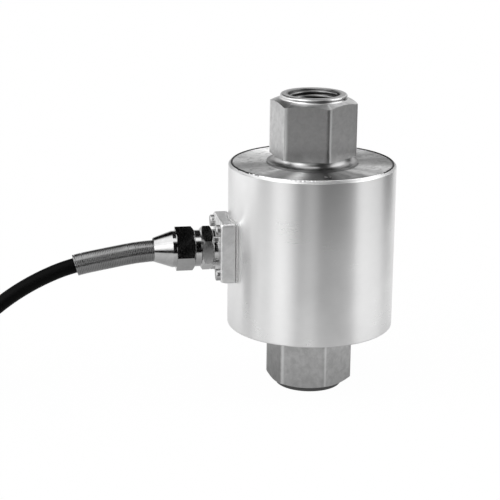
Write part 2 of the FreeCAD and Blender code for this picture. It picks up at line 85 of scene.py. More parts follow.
def addNode(tree, kind, settings=None, inputs=None):
    node = tree.nodes.new(kind)
    for name, value in (settings or {}).items():
        setattr(node, name, value)
    for name, value in (inputs or {}).items():
        if isinstance(value, bpy.types.NodeSocket):
            tree.links.new(value, node.inputs[name])
        else:
            node.inputs[name].default_value = value
    return node


def calc(tree, operation, *values):
    return addNode(tree, "ShaderNodeMath", {"operation": operation}, dict(enumerate(values))).outputs[0]


def vectorCalc(tree, operation, *values):
    return addNode(tree, "ShaderNodeVectorMath", {"operation": operation}, dict(enumerate(values)))


def newGeometryTree(name, numbers):
    tree = bpy.data.node_groups.new(name, "GeometryNodeTree")
    tree.interface.new_socket("Geometry", in_out="INPUT", socket_type="NodeSocketGeometry")
    for label, value in numbers.items():
        kind = "NodeSocketInt" if isinstance(value, int) else "NodeSocketFloat"
        socket = tree.interface.new_socket(label, in_out="INPUT", socket_type=kind)
        socket.default_value = value
    tree.interface.new_socket("Geometry", in_out="OUTPUT", socket_type="NodeSocketGeometry")
    return tree, tree.nodes.new("NodeGroupInput")


def endGeometryTree(tree, geometry, material, smooth=True):
    if smooth:
        geometry = addNode(tree, "GeometryNodeSetShadeSmooth", None, {"Geometry": geometry}).outputs[0]
    real = addNode(tree, "GeometryNodeRealizeInstances", None, {"Geometry": geometry})
    finish = addNode(tree, "GeometryNodeSetMaterial", None, {
        "Geometry": real.outputs[0], "Material": material})
    addNode(tree, "NodeGroupOutput", None, {0: finish.outputs[0]})


def grow(name, tree, startMesh=None):
    # runs a tree on its own numbers and keeps the result as a plain mesh
    holder = linkObject(name, startMesh or bpy.data.meshes.new(name), smooth=False)
    modifier = holder.modifiers.new("grown", "NODES")
    modifier.node_group = tree
    bpy.context.view_layer.update()
    seen = holder.evaluated_get(bpy.context.evaluated_depsgraph_get())
    mesh = bpy.data.meshes.new_from_object(seen)
    holder.modifiers.remove(modifier)
    old = holder.data
    holder.data = mesh
    bpy.data.meshes.remove(old)
    mesh.name = name
    return holder


def splinePoints(curveObject):
    # the line of a curve with no bevel, as the renderer sees it
    plain = curveObject.data.copy()
    plain.bevel_depth = 0
    probe = linkObject("probe", plain)
    bpy.context.view_layer.update()
    seen = probe.evaluated_get(bpy.context.evaluated_depsgraph_get())
    mesh = bpy.data.meshes.new_from_object(seen)
    points = [vertex.co.copy() for vertex in mesh.vertices]
    bpy.data.meshes.remove(mesh)
    bpy.data.objects.remove(probe)
    bpy.data.curves.remove(plain)
    return points


def pathPart(points, start, length):
    # the stretch of a line of points from one distance along it to another
    kept = []
    walked = 0.0
    for here, there in zip(points, points[1:]):
        step = (there - here).length
        if step == 0:
            continue
        for cut in (start, start + length):
            if walked <= cut < walked + step:
                kept.append(here.lerp(there, (cut - walked) / step))
        if start < walked + step < start + length:
            kept.append(there.copy())
        walked += step
    return kept


def pathMesh(name, points):
    mesh = bpy.data.meshes.new(name)
    mesh.from_pydata(points, [(index, index + 1) for index in range(len(points) - 1)], [])
    return mesh


def roundLine(name, points, diameter, fineness, roundness):
    # a round line through points in mm, as the cable and its cores are drawn
    data = bpy.data.curves.new(name, "CURVE")
    data.dimensions = "3D"
    data.resolution_u = fineness
    data.bevel_depth = diameter / 2 * mm
    data.bevel_resolution = roundness
    data.use_fill_caps = True
    spline = data.splines.new("NURBS")
    spline.points.add(len(points) - 1)
    for point, place in zip(spline.points, points):
        point.co = (*(Vector(place) * mm), 1.0)
    spline.order_u = 3
    spline.use_endpoint_u = True
    return linkObject(name, data)


def linearColour(hexText):
    # an sRGB hex value as the renderer's linear colour
    channels = [int(hexText[place:place + 2], 16) / 255 for place in (0, 2, 4)]
    linear = [value / 12.92 if value <= 0.04045 else ((value + 0.055) / 1.055) ** 2.4
              for value in channels]
    return (*linear, 1.0)


def startMaterial(name, colour, metallic, roughness, ior=None):
    material = bpy.data.materials.new(name)
    material.use_nodes = True
    tree = material.node_tree
    shader = tree.nodes["Principled BSDF"]
    shader.inputs["Base Color"].default_value = linearColour(colour)
    shader.inputs["Metallic"].default_value = metallic
    shader.inputs["Roughness"].default_value = roughness
    if ior:
        shader.inputs["IOR"].default_value = ior
    return material, tree, shader


def placeParts(tree):
    # the point on the piece in mm, its direction round the load axis, its radius and its height
    point = addNode(tree, "ShaderNodeTexCoord").outputs["Object"]
    inMm = vectorCalc(tree, "SCALE", point)
    inMm.inputs["Scale"].default_value = 1 / mm
    parts = addNode(tree, "ShaderNodeSeparateXYZ", None, {0: inMm.outputs[0]})
    flat = addNode(tree, "ShaderNodeCombineXYZ", None, {
        0: parts.outputs[0], 1: parts.outputs[1]}).outputs[0]
    radius = vectorCalc(tree, "LENGTH", flat).outputs["Value"]
    way = vectorCalc(tree, "NORMALIZE", flat).outputs[0]
    return inMm.outputs[0], way, radius, parts.outputs[2]


def noise(tree, vector, scale, detail=3.0, roughness=0.55, distortion=0.0):
    return addNode(tree, "ShaderNodeTexNoise", None, {
        "Vector": vector, "Scale": scale, "Detail": detail, "Roughness": roughness,
        "Distortion": distortion}).outputs["Fac"]


def spread(tree, value, low, high, toLow, toHigh):
    # one range of values laid over another, held at both ends
    return addNode(tree, "ShaderNodeMapRange", {"clamp": True}, {
        "Value": value, "From Min": low, "From Max": high, "To Min": toLow, "To Max": toHigh}).outputs[0]


def mixNumbers(tree, factor, first, second):
    return addNode(tree, "ShaderNodeMix", {"data_type": "FLOAT"}, {
        0: factor, 2: first, 3: second}).outputs[0]


def blendColours(tree, factor, first, second, how="MIX"):
    node = addNode(tree, "ShaderNodeMix", {"data_type": "RGBA", "blend_type": how}, {0: factor})
    for index, value in ((6, first), (7, second)):
        if isinstance(value, bpy.types.NodeSocket):
            tree.links.new(value, node.inputs[index])
        else:
            node.inputs[index].default_value = linearColour(value)
    return node.outputs[2]


def facingShare(tree, way, angle):
    # 1 where the surface lies at this angle round the load axis, 0 a quarter turn away
    turn = math.radians(angle)
    aim = (math.cos(turn), math.sin(turn), 0.0)
    return vectorCalc(tree, "DOT_PRODUCT", way, aim).outputs["Value"]


def sway(tree, value, wander, reach):
    # moves a value either way by a noise that lies round 0.5
    return calc(tree, "ADD", value, calc(tree, "MULTIPLY", calc(tree, "SUBTRACT", wander, 0.5), reach))


def addRelief(tree, shader, height, depth):
    bump = addNode(tree, "ShaderNodeBump", None, {
        "Height": height, "Distance": depth * mm, "Strength": 1.0})
    tree.links.new(bump.outputs[0], shader.inputs["Normal"])


def turnedLines(tree, way, radius, height, spacing, wander):
    # tool marks run round the axis, so the noise is fine across them and slow along them
    slow = vectorCalc(tree, "SCALE", way)
    slow.inputs["Scale"].default_value = wander
    across = calc(tree, "DIVIDE", calc(tree, "ADD", height, radius), spacing)
    lift = addNode(tree, "ShaderNodeCombineXYZ", None, {2: across}).outputs[0]
    return vectorCalc(tree, "ADD", slow.outputs[0], lift).outputs[0]


def dress(nodeName, material):
    for holder in nodes[nodeName].material_slots:
        holder.material = material


# The cable first: its route is the one the solids follow, and its coil lies just out of view

cableSettings = {
    "diameter": 7.0,
    "length": 3000.0,
    "exit": (-74.45, 0.0, 68.4),
    "route": (
        (-50.5, 0.0, 68.4), (-76.45, 0.0, 68.4), (-95.5, 0.0, 65.2), (-113.0, 0.0, 62.1),
        (-127.5, 0.0, 56.35), (-141.0, 0.0, 48.6), (-153.5, -1.0, 38.9), (-164.5, -4.5, 27.1),
        (-176.0, -10.5, 15.9), (-189.5, -19.0, 7.6), (-205.5, -26.7, 4.1), (-221.5, -29.6, 4.2),
    ),
    "coilCentre": (-225.0, 20.0),
    "turnRadii": (50.0, 43.0, 36.0, 29.0),
    "layerHeights": (4.3, 11.3, 18.3),
    "pointsPerTurn": 18,
    "crossAngle": 40.0,
    "crossBeforeStart": 20.0,
    "lastTurnAngle": 240.0,
    "fineness": 6,
    "roundness": 5,
}


def coilStations(settings):
    # walks the winding as (angle wound so far, radius, height) at its changes of lane and layer
    lanes = settings["turnRadii"]
    cross = settings["crossAngle"]
    heights = settings["layerHeights"]
    stations = [(0.0, lanes[0], heights[0])]
    changeAt = 360.0 - settings["crossBeforeStart"] - cross
    for layer, height in enumerate(heights):
        for lane, lower in zip(lanes, lanes[1:]):
            stations.append((changeAt, lane, height))
            stations.append((changeAt + cross, lower, height))
            changeAt += 360.0
        if layer + 1 < len(heights):
            changeAt -= cross
            stations.append((changeAt, lanes[-1], height))
            stations.append((changeAt + cross, lanes[-1], heights[layer + 1]))
            changeAt += 360.0 - cross
        else:
            stations.append((stations[-1][0] + settings["lastTurnAngle"], lanes[-1], height))
        lanes = lanes[::-1]
    return stations


def coilPoints(settings):
    stations = coilStations(settings)
    step = 360.0 / settings["pointsPerTurn"]
    outward = 1 / math.cos(math.radians(step / 2))  # the curve cuts the corners between its points
    centreX, centreY = settings["coilCentre"]
    points = []
    wound = step / 2
    index = 0
    while wound <= stations[-1][0]:
        while wound > stations[index + 1][0]:
            index += 1
        before, after = stations[index], stations[index + 1]
        share = (wound - before[0]) / (after[0] - before[0])
        ease = share * share * (3 - 2 * share)  # a change of lane starts and ends gently
        radius = (before[1] + (after[1] - before[1]) * ease) * outward
        angle = math.radians(-90 - wound)
        height = before[2] + (after[2] - before[2]) * ease
        points.append((centreX + radius * math.cos(angle), centreY + radius * math.sin(angle), height))
        wound += step
    return points


cableLine = roundLine(
    "cable_line", list(cableSettings["route"]) + coilPoints(cableSettings), cableSettings["diameter"],
    cableSettings["fineness"], cableSettings["roundness"],
)
cablePath = splinePoints(cableLine)
print("cable laid, points:", len(cablePath))


# Materials

def paintedFanShade(tree, way, wander, paintedFans):
    # painted shade: each fan darkens one sector round the axis, standing in for how the lay of a faced disc
    # catches the light
    shade = 1.0
    for fan in paintedFans.values():
        facing = sway(tree, facingShare(tree, way, fan["angle"]), wander, fan["ragged"])
        outer = math.cos(math.radians(fan["width"] + fan["soft"]))
        inner = math.cos(math.radians(fan["width"]))
        mask = spread(tree, facing, outer, inner, 0.0, fan["depth"])
        shade = calc(tree, "MULTIPLY", shade, calc(tree, "SUBTRACT", 1.0, mask))
    return shade


# What the steel finishes share: the tool marks, the clouds, and the blots of a stained face
steelPattern = {
    "lineWander": 1.5, "lineDetail": 4.0, "lineTints": (0.3, 0.7), "lineRoughens": (0.25, 0.75),
    "cloudDetail": 4.0, "cloudTints": (0.35, 0.7), "cloudRoughens": (0.3, 0.7), "cloudSwing": 0.03,
    "blotScale": 0.3, "blotDetail": 4.0, "blotTwist": 0.8, "blotFrom": 0.36, "blotTo": 0.52,
    "breakUp": 0.6, "rimSoft": 0.15,
}


def steelLook(name, look):
    # Stainless steel: a grey-white metal whose lay shows in how it spreads the light
    pattern = steelPattern
    material, tree, shader = startMaterial(name, look["colour"], 1.0, look["roughness"])
    point, way, radius, height = placeParts(tree)
    marks = turnedLines(tree, way, radius, height, look["lineSpacing"], pattern["lineWander"])
    lines = noise(tree, marks, 1.0, pattern["lineDetail"], pattern["breakUp"])
    cloud = noise(tree, point, look["cloudScale"], pattern["cloudDetail"], pattern["breakUp"])
    cloudShare = spread(tree, cloud, *pattern["cloudTints"], 0.0, 1.0)
    tint = blendColours(tree, cloudShare, look["colour"], look["cloudColour"])
    lineShare = spread(tree, lines, *pattern["lineTints"], 0.0, look["lineTint"])
    tint = blendColours(tree, lineShare, tint, look["lineColour"])
    # painted shade in fans round the axis, with random stain blots
    if "paintedFans" in look:
        blots = noise(tree, point, pattern["blotScale"], pattern["blotDetail"], pattern["breakUp"],
                      pattern["blotTwist"])
        stain = spread(tree, blots, pattern["blotFrom"], pattern["blotTo"], 1.0 - look["blots"], 1.0)
        shade = calc(tree, "MULTIPLY", paintedFanShade(tree, way, blots, look["paintedFans"]), stain)
        tint = blendColours(tree, 1.0, tint, shade, "MULTIPLY")
    low, high = look["roughness"] - look["lineSwing"], look["roughness"] + look["lineSwing"]
    swing = pattern["cloudSwing"]
    rough = calc(tree, "ADD", spread(tree, lines, *pattern["lineRoughens"], low, high),
                 spread(tree, cloud, *pattern["cloudRoughens"], -swing, swing))
    if "rimFrom" in look:
        rim = spread(tree, height, look["rimFrom"], look["rimFrom"] + pattern["rimSoft"], 0.0, 1.0)
        tint = blendColours(tree, rim, tint, look["rimColour"])
        rough = calc(tree, "ADD", rough, calc(tree, "MULTIPLY", rim, look["rimRoughness"]))
    tree.links.new(tint, shader.inputs["Base Color"])
    tree.links.new(rough, shader.inputs["Roughness"])
    addRelief(tree, shader, lines, look["lineDepth"])
    if look["anisotropy"]:
        shader.inputs["Anisotropic"].default_value = look["anisotropy"]
        shader.inputs["Anisotropic Rotation"].default_value = look["grainTurn"]
        lay = addNode(tree, "ShaderNodeTangent", {"direction_type": "RADIAL", "axis": "Z"})
        tree.links.new(lay.outputs[0], shader.inputs["Tangent"])
    return material


# Turned and rubbed satin: the light runs along the tube in soft upright bands. The dressed rim is duller.
sleeveLook = {
    "colour": "EEEEEE", "cloudColour": "E4E4E4", "cloudScale": 0.035, "roughness": 0.3,
    "lineColour": "D8D8D8", "lineTint": 0.05, "lineSpacing": 0.3, "lineDepth": 0.00005, "lineSwing": 0.02,
    "anisotropy": 0.85, "grainTurn": 0.25,
    "rimFrom": 106.9, "rimColour": "F2F2F2", "rimRoughness": 0.3,
}
# Faced on a lathe, with darker blots from the weld; the fans are painted shade, sectors round the axis
# darkened where the rings would throw the light away
coverLook = {
    "colour": "F8F8F8", "cloudColour": "E2E2E2", "cloudScale": 0.09, "roughness": 0.5,
    "lineColour": "CCCCCC", "lineTint": 0.2, "lineSpacing": 0.5, "lineDepth": 0.0015, "lineSwing": 0.05,
    "anisotropy": 0.97, "grainTurn": 0.25, "blots": 0.34,
    "paintedFans": {
        "front": {"angle": -94.0, "width": 32.0, "soft": 8.0, "depth": 0.46, "ragged": 0.1},
        "frontLeft": {"angle": -131.0, "width": 6.0, "soft": 9.0, "depth": 0.62, "ragged": 0.04},
        "middle": {"angle": -94.0, "width": 8.0, "soft": 9.0, "depth": 0.64, "ragged": 0.04},
        "frontRight": {"angle": -67.0, "width": 7.0, "soft": 8.0, "depth": 0.54, "ragged": 0.04},
        "sideRight": {"angle": -50.0, "width": 6.0, "soft": 8.0, "depth": 0.42, "ragged": 0.06},
        "left": {"angle": -176.0, "width": 5.0, "soft": 7.0, "depth": 0.28, "ragged": 0.08},
        "right": {"angle": -5.0, "width": 8.0, "soft": 9.0, "depth": 0.4, "ragged": 0.1},
    },
}
# Ground flat: a pale even grey
blockLook = {
    "colour": "F2F2F2", "cloudColour": "DCDCDC", "cloudScale": 0.2, "roughness": 0.5,
    "lineColour": "CCCCCC", "lineTint": 0.2, "lineSpacing": 0.6, "lineDepth": 0.002, "lineSwing": 0.05,
    "anisotropy": 0.0,
}
# Machined screws: clouded, with clear turning marks
screwLook = {
    "colour": "D0D0D0", "cloudColour": "A8A8A8", "cloudScale": 0.5, "roughness": 0.36,
    "lineColour": "8C8C8C", "lineTint": 0.3, "lineSpacing": 0.4, "lineDepth": 0.003, "lineSwing": 0.05,
    "anisotropy": 0.0,
}
# Bright nickel on brass: nearly a mirror, so its faces go black or white with the room
nickelLook = {
    "colour": "C0C0C0", "cloudColour": "B4B4B4", "cloudScale": 0.3, "roughness": 0.15,
    "lineColour": "A4A4A4", "lineTint": 0.2, "lineSpacing": 0.3, "lineDepth": 0.001, "lineSwing": 0.05,
    "anisotropy": 0.0,
}
# The neck, bore and foot tones are painted shade, the lower fans paint shade on the lower hexagon's left
# face, and the palest tone is a painted highlight beside the hexagon corners
elementLook = {
    "milled": "CCCCCC", "milledDark": "B4B4B4", "turned": "C4C4C4", "neck": "9A9A9A", "bore": "848484",
    "foot": "6C6C6C", "cornerHighlight": "FAFAFA", "roughness": 0.36, "swing": 0.03, "depth": 0.0025,
    "hexTopFrom": 111.7, "hexLowTo": 26.2, "collarRadius": 16.2, "boreRadius": 12.7, "footTo": 2.3,
    "patchSize": 3.2, "patchTwist": 0.4, "patchTints": (0.36, 0.68), "patchRoughens": (0.3, 0.7),
    "lineSpacing": 0.35, "lineWander": 1.2,
    "scratchScale": 0.9, "scratchFlatten": 6.0,
    "cornerAngle": -81.34, "cornerShift": 2.8, "cornerWidth": 0.7, "cornerSoft": 1.8, "cornerHighlightShare": 0.5,
    "lowerPaintedFans": {"left": {"angle": -171.3, "width": 28.0, "soft": 3.0, "depth": 0.32, "ragged": 0.0}},
}


def elementSteel(look):
    # Stainless steel bar: mottled milled hexagon faces and bright turned ends and shoulders, with painted
    # shade on the neck, in the bores, at the foot and on the lower hexagon's left face, and a painted
    # highlight beside each hexagon corner
    material, tree, shader = startMaterial("milledAndTurnedSteel", look["milled"], 1.0, look["roughness"])
    point, way, radius, height = placeParts(tree)
    marks = turnedLines(tree, way, radius, height, look["lineSpacing"], look["lineWander"])
    lines = noise(tree, marks, 1.0, detail=3.0, roughness=0.5)
    upper = calc(tree, "GREATER_THAN", height, look["hexTopFrom"])
    lower = calc(tree, "LESS_THAN", height, look["hexLowTo"])
    wide = calc(tree, "GREATER_THAN", radius, look["collarRadius"])
    hexZone = calc(tree, "MULTIPLY", calc(tree, "MAXIMUM", upper, lower), wide)
    mottle = noise(tree, point, 1 / look["patchSize"], detail=5.0, roughness=0.62,
                   distortion=look["patchTwist"])
    flattened = addNode(tree, "ShaderNodeMapping", None, {
        "Vector": point, "Scale": (1.0, 1.0, look["scratchFlatten"])}).outputs[0]
    scratches = noise(tree, flattened, look["scratchScale"], detail=4.0, roughness=0.7)
    mottleShare = spread(tree, mottle, *look["patchTints"], 0.0, 1.0)
    milled = blendColours(tree, mottleShare, look["milledDark"], look["milled"])
    # painted shade: the neck between the hexagons, under their overhang, is darker
    neckZone = calc(tree, "MULTIPLY", calc(tree, "LESS_THAN", height, look["hexTopFrom"]),
                    calc(tree, "GREATER_THAN", height, look["hexLowTo"]))
    turned = blendColours(tree, neckZone, look["turned"], look["neck"])
    # painted shade: the bores are darker inside
    turned = blendColours(tree, calc(tree, "LESS_THAN", radius, look["boreRadius"]), turned, look["bore"])
    # painted shade: the bottom of the collar is darker, where the floor beneath it is shaded
    turned = blendColours(tree, calc(tree, "LESS_THAN", height, look["footTo"]), turned, look["foot"])
    # painted shade: the lower hexagon's left face is darkened by a fan round the axis
    lowPaintedShade = mixNumbers(tree, lower, 1.0, paintedFanShade(tree, way, mottle, look["lowerPaintedFans"]))
    milled = blendColours(tree, 1.0, milled, lowPaintedShade, "MULTIPLY")
    # painted highlight: a pale line beside each rounded corner of the hexagons, where the light catches it
    flat = addNode(tree, "ShaderNodeSeparateXYZ", None, {0: way})
    turn = calc(tree, "SUBTRACT", calc(tree, "ARCTAN2", flat.outputs[1], flat.outputs[0]),
                math.radians(look["cornerAngle"] + look["cornerShift"]))
    offCorner = calc(tree, "ABSOLUTE", calc(tree, "WRAP", turn, math.radians(30), math.radians(-30)))
    cornerEnd = look["cornerWidth"] + look["cornerSoft"]
    paintedCornerHighlight = spread(tree, offCorner, math.radians(look["cornerWidth"]), math.radians(cornerEnd),
                    look["cornerHighlightShare"], 0.0)
    milled = blendColours(tree, paintedCornerHighlight, milled, look["cornerHighlight"])
    tint = blendColours(tree, hexZone, turned, milled)
    tree.links.new(tint, shader.inputs["Base Color"])
    swing = look["swing"]
    rough = calc(tree, "ADD", spread(tree, hexZone, 0.0, 1.0, look["roughness"] - swing, look["roughness"]),
                 spread(tree, mottle, *look["patchRoughens"], swing, -swing))
    tree.links.new(rough, shader.inputs["Roughness"])
    addRelief(tree, shader, mixNumbers(tree, hexZone, lines, scratches), look["depth"])
    return material


sleeveSteel = steelLook("satinTurnedSteel", sleeveLook)
coverSteel = steelLook("facedSteel", coverLook)
blockSteel = steelLook("groundSteel", blockLook)
screwSteel = steelLook("machinedScrewSteel", screwLook)
brightNickel = steelLook("brightNickelPlate", nickelLook)
hexSteel = elementSteel(elementLook)
darkVent = {**screwLook, "colour": "5A5A5A", "cloudColour": "3A3A3A"}  # darker than the rest
ventSteel = steelLook("darkVentSteel", darkVent)

dress("load_element", hexSteel)
dress("housing_sleeve", sleeveSteel)
dress("top_cover", coverSteel)
dress("bottom_cover", coverSteel)
dress("gland_block", blockSteel)
dress("vent_screw", ventSteel)
for nodeName in ("block_screws", "board_screws"):
    dress(nodeName, screwSteel)
for nodeName in ("gland_body", "gland_nut", "bush_washer"):
    dress(nodeName, brightNickel)


# What the plain finishes share: how their fine grain tints them and changes their sheen
plainPattern = {"tints": (0.35, 0.65), "roughens": (0.3, 0.7), "smoother": 0.05, "duller": 0.06}


def plainLook(name, colour, roughness, speckle, speckleSize, ior, depth, metallic=0.0, specular=0.5):
    # a moulded, extruded or drawn finish: an even colour with slight clouding and a fine skin
    pattern = plainPattern
    material, tree, shader = startMaterial(name, colour, metallic, roughness, ior)
    shader.inputs["Specular IOR Level"].default_value = specular
    grain = noise(tree, placeParts(tree)[0], 1 / speckleSize, detail=3.0, roughness=0.5)
    tint = blendColours(tree, spread(tree, grain, *pattern["tints"], 0.0, 1.0), colour, speckle)
    tree.links.new(tint, shader.inputs["Base Color"])
    rough = spread(tree, grain, *pattern["roughens"], roughness - pattern["smoother"],
                   roughness + pattern["duller"])
    tree.links.new(rough, shader.inputs["Roughness"])
    addRelief(tree, shader, grain, depth)
    return material


# Extruded PVC: a deep black that hardly mirrors the room
jacketPvc = plainLook("satinBlackCableJacket", "020202", 0.5, "060606", 1.1, 1.5, 0.006, specular=0.06)
# Cut rubber sheet: pale grey and matt, seen as a thin line round the block
gasketRubber = plainLook("paleSiliconeGasket", "C8C8C8", 0.7, "B4B4B4", 0.6, 1.5, 0.006, specular=0.4)
# Moulded rubber: matt black
sealRubber = plainLook("nitrileRubber", "101010", 0.6, "1A1A1A", 0.5, 1.5, 0.008, specular=0.3)
# Moulded nylon: black with a soft sheen
tieNylon = plainLook("blackNylon", "161616", 0.45, "1E1E1E", 0.8, 1.53, 0.006)
# Plastic film over foil: glossy amber
gaugeFilm = plainLook("polyimideFilm", "B57A2A", 0.3, "9C6420", 0.6, 1.7, 0.002)
# Lacquered glass laminate: a clouded green with a clear sheen
boardLaminate = plainLook("solderMaskLaminate", "1F5A34", 0.38, "18492A", 1.6, 1.5, 0.004)
# Undyed moulded nylon: milky white
spacerNylon = plainLook("naturalNylon", "E2E2E2", 0.5, "DAD8CE", 0.9, 1.53, 0.006)
# Glazed ceramic: black and glossy
chipCeramic = plainLook("chipResistorGlaze", "222222", 0.3, "2B2B2B", 0.3, 1.6, 0.002)
# Extruded insulation: a waxy light grey
leadPtfe = plainLook("leadInsulation", "B8B8B8", 0.4, "A8A8A8", 0.7, 1.4, 0.003)
# Tinned copper: a warm white metal
tinnedCopper = plainLook("tinnedCopper", "C9C5BE", 0.3, "ABA69E", 0.4, None, 0.004, 1.0)
# Drawn spring wire: a darker grey metal, bright along the top of the guard
springSteel = plainLook("drawnSpringWire", "8C8C8C", 0.23, "828282", 9.0, None, 0.0002, 1.0)
# Extruded core insulation: glossy plain colours
corePvc = {
    "red": plainLook("redCoreInsulation", "9E2219", 0.35, "8B1C15", 0.8, 1.5, 0.003),
    "black": plainLook("blackCoreInsulation", "141414", 0.35, "1C1C1C", 0.8, 1.5, 0.003),
    "green": plainLook("greenCoreInsulation", "1F6B33", 0.35, "1A5C2B", 0.8, 1.5, 0.003),
    "white": plainLook("whiteCoreInsulation", "E0E0E0", 0.35, "D2D2D2", 0.8, 1.5, 0.003),
}
cableLine.data.materials.append(jacketPvc)
for nodeName, material in (
    ("block_gasket", gasketRubber), ("gland_oring", sealRubber), ("gland_bush", sealRubber),
    ("strain_gauges", gaugeFilm), ("bridge_board", boardLaminate), ("board_spacers", spacerNylon),
    ("trim_resistors", chipCeramic), ("gauge_leads", leadPtfe), ("core_leads", corePvc["red"]),
):
    dress(nodeName, material)
print("materials made")


# Spring guard: one close-wound wire along the cable

guardSettings = {
    "wire": 0.8, "outside": 10.0, "start": 71.45, "length": 39.6, "turns": 50, "stepsPerTurn": 20,
    "section": 0.97, "corner": 0.18, "cornerSteps": 5,
}


def guardTree(settings):
    # the wire's section is a rounded square that keeps one side outward
    tree, given = newGeometryTree("closeWoundGuard", {
        "Wire": settings["wire"] * mm, "Outside": settings["outside"] * mm, "Turns": settings["turns"],
    })
    line = addNode(tree, "GeometryNodeMeshToCurve", None, {0: given.outputs["Geometry"]})
    steps = calc(tree, "MULTIPLY", given.outputs["Turns"], settings["stepsPerTurn"])
    line = addNode(tree, "GeometryNodeResampleCurve", None, {"Curve": line.outputs[0], "Count": steps})
    along = addNode(tree, "GeometryNodeInputTangent").outputs[0]
    normal = addNode(tree, "GeometryNodeInputNormal").outputs[0]
    side = vectorCalc(tree, "CROSS_PRODUCT", along, normal).outputs[0]
    share = addNode(tree, "GeometryNodeSplineParameter").outputs["Factor"]
    turn = calc(tree, "MULTIPLY", calc(tree, "MULTIPLY", share, given.outputs["Turns"]), 2 * math.pi)
    across = calc(tree, "SUBTRACT", given.outputs["Outside"], given.outputs["Wire"])
    reach = calc(tree, "MULTIPLY", across, 0.5)
    upward = vectorCalc(tree, "SCALE", normal)
    tree.links.new(calc(tree, "MULTIPLY", calc(tree, "COSINE", turn), reach), upward.inputs["Scale"])
    sideward = vectorCalc(tree, "SCALE", side)
    tree.links.new(calc(tree, "MULTIPLY", calc(tree, "SINE", turn), reach), sideward.inputs["Scale"])
    shift = vectorCalc(tree, "ADD", upward.outputs[0], sideward.outputs[0]).outputs[0]
    held = addNode(tree, "GeometryNodeCaptureAttribute", None, {0: line.outputs[0]})
    held.capture_items.new("VECTOR", "Outward")
    tree.links.new(shift, held.inputs["Outward"])
    outward = held.outputs["Outward"]
    wound = addNode(tree, "GeometryNodeSetPosition", None, {
        "Geometry": held.outputs[0], "Offset": outward})
    faced = addNode(tree, "GeometryNodeSetCurveNormal", {"mode": "FREE"}, {
        "Curve": wound.outputs[0], "Normal": outward})
    wireSide = calc(tree, "MULTIPLY", given.outputs["Wire"], settings["section"])
    section = addNode(tree, "GeometryNodeCurvePrimitiveQuadrilateral", None, {
        "Width": wireSide, "Height": wireSide})
    cornerRadius = calc(tree, "MULTIPLY", given.outputs["Wire"], settings["corner"])
    rounded = addNode(tree, "GeometryNodeFilletCurve", {"mode": "POLY"}, {
        "Curve": section.outputs[0], "Count": settings["cornerSteps"], "Radius": cornerRadius})
    wire = addNode(tree, "GeometryNodeCurveToMesh", None, {
        "Curve": faced.outputs[0], "Profile Curve": rounded.outputs[0], "Fill Caps": True})
    endGeometryTree(tree, wire.outputs[0], springSteel)
    return tree


routeStart = -cableSettings["route"][0][0]
guardPath = pathPart(cablePath, (guardSettings["start"] - routeStart) * mm, guardSettings["length"] * mm)
guardWire = grow("spring_guard_wire", guardTree(guardSettings), pathMesh("guardPath", guardPath))
print("spring guard wound, faces:", len(guardWire.data.polygons))


# Threads in both bores: one ridge each, with flanks that lean towards a narrow crest

threadSettings = {
    "pitch": 2.0, "rootRadius": 12.02, "depth": 1.1, "root": 1.8, "crest": 0.45, "turns": 13.0,
    "stepsPerTurn": 72, "profileTurn": 90.0, "mouthGap": 1.1, "partHeight": 140.2,
}


def threadTree(settings):
    tree, given = newGeometryTree("threadRidge", {
        "Pitch": settings["pitch"] * mm, "Root radius": settings["rootRadius"] * mm,
        "Depth": settings["depth"] * mm, "Root": settings["root"] * mm, "Crest": settings["crest"] * mm,
        "Turns": settings["turns"],
    })
    halfDepth = calc(tree, "MULTIPLY", given.outputs["Depth"], 0.5)
    middle = calc(tree, "SUBTRACT", given.outputs["Root radius"], halfDepth)
    rise = calc(tree, "MULTIPLY", given.outputs["Pitch"], given.outputs["Turns"])
    helix = addNode(tree, "GeometryNodeCurveSpiral", None, {
        "Resolution": settings["stepsPerTurn"], "Rotations": given.outputs["Turns"],
        "Start Radius": middle, "End Radius": middle, "Height": rise})
    upright = addNode(tree, "GeometryNodeSetCurveNormal", {"mode": "Z_UP"}, {"Curve": helix.outputs[0]})
    profile = addNode(tree, "GeometryNodeCurvePrimitiveQuadrilateral", {"mode": "TRAPEZOID"}, {
        "Bottom Width": given.outputs["Root"], "Top Width": given.outputs["Crest"],
        "Offset": 0.0, "Height": given.outputs["Depth"]})
    turn = Euler((0.0, 0.0, math.radians(settings["profileTurn"])))  # the crest points at the axis
    turned = addNode(tree, "GeometryNodeTransform", None, {
        "Geometry": profile.outputs[0], "Rotation": turn})
    ridge = addNode(tree, "GeometryNodeCurveToMesh", None, {
        "Curve": upright.outputs[0], "Profile Curve": turned.outputs[0], "Fill Caps": True})
    endGeometryTree(tree, ridge.outputs[0], hexSteel, smooth=False)
    return tree


def makeThreads(settings):
    ridge = threadTree(settings)
    ridgeLength = settings["pitch"] * settings["turns"]
    upperLow = settings["partHeight"] - settings["mouthGap"] - ridgeLength
    made = {}
    for end, low in (("upper", upperLow), ("lower", settings["mouthGap"])):
        piece = grow(end + "_bore_thread", ridge)
        piece.data.transform(Matrix.Translation((0, 0, low * mm)))
        made[end] = piece
    return made


threads = makeThreads(threadSettings)
print("threads cut, faces:", len(threads["upper"].data.polygons))


# Ties round the coil and the bare cores at the cable's end

tieSettings = {
    "angles": (45.0, 225.0), "width": 4.0, "thickness": 0.8, "inner": 25.5, "outer": 53.5, "height": 21.8,
    "outerRound": 3.0, "innerRound": 2.2,
    "headSize": (3.0, 6.0, 5.0), "headHeight": 12.0, "headSunk": 0.2, "headRound": 0.5,
}
coreSettings = {
    "diameter": 1.3, "bareDiameter": 0.7, "length": 30.0, "bareLength": 6.0, "rooted": 1.0,
    "height": 15.45, "startAngle": 210.0, "places": 5, "steps": 6, "fineness": 4,
    "colours": ("red", "black", "green", "white"),
}


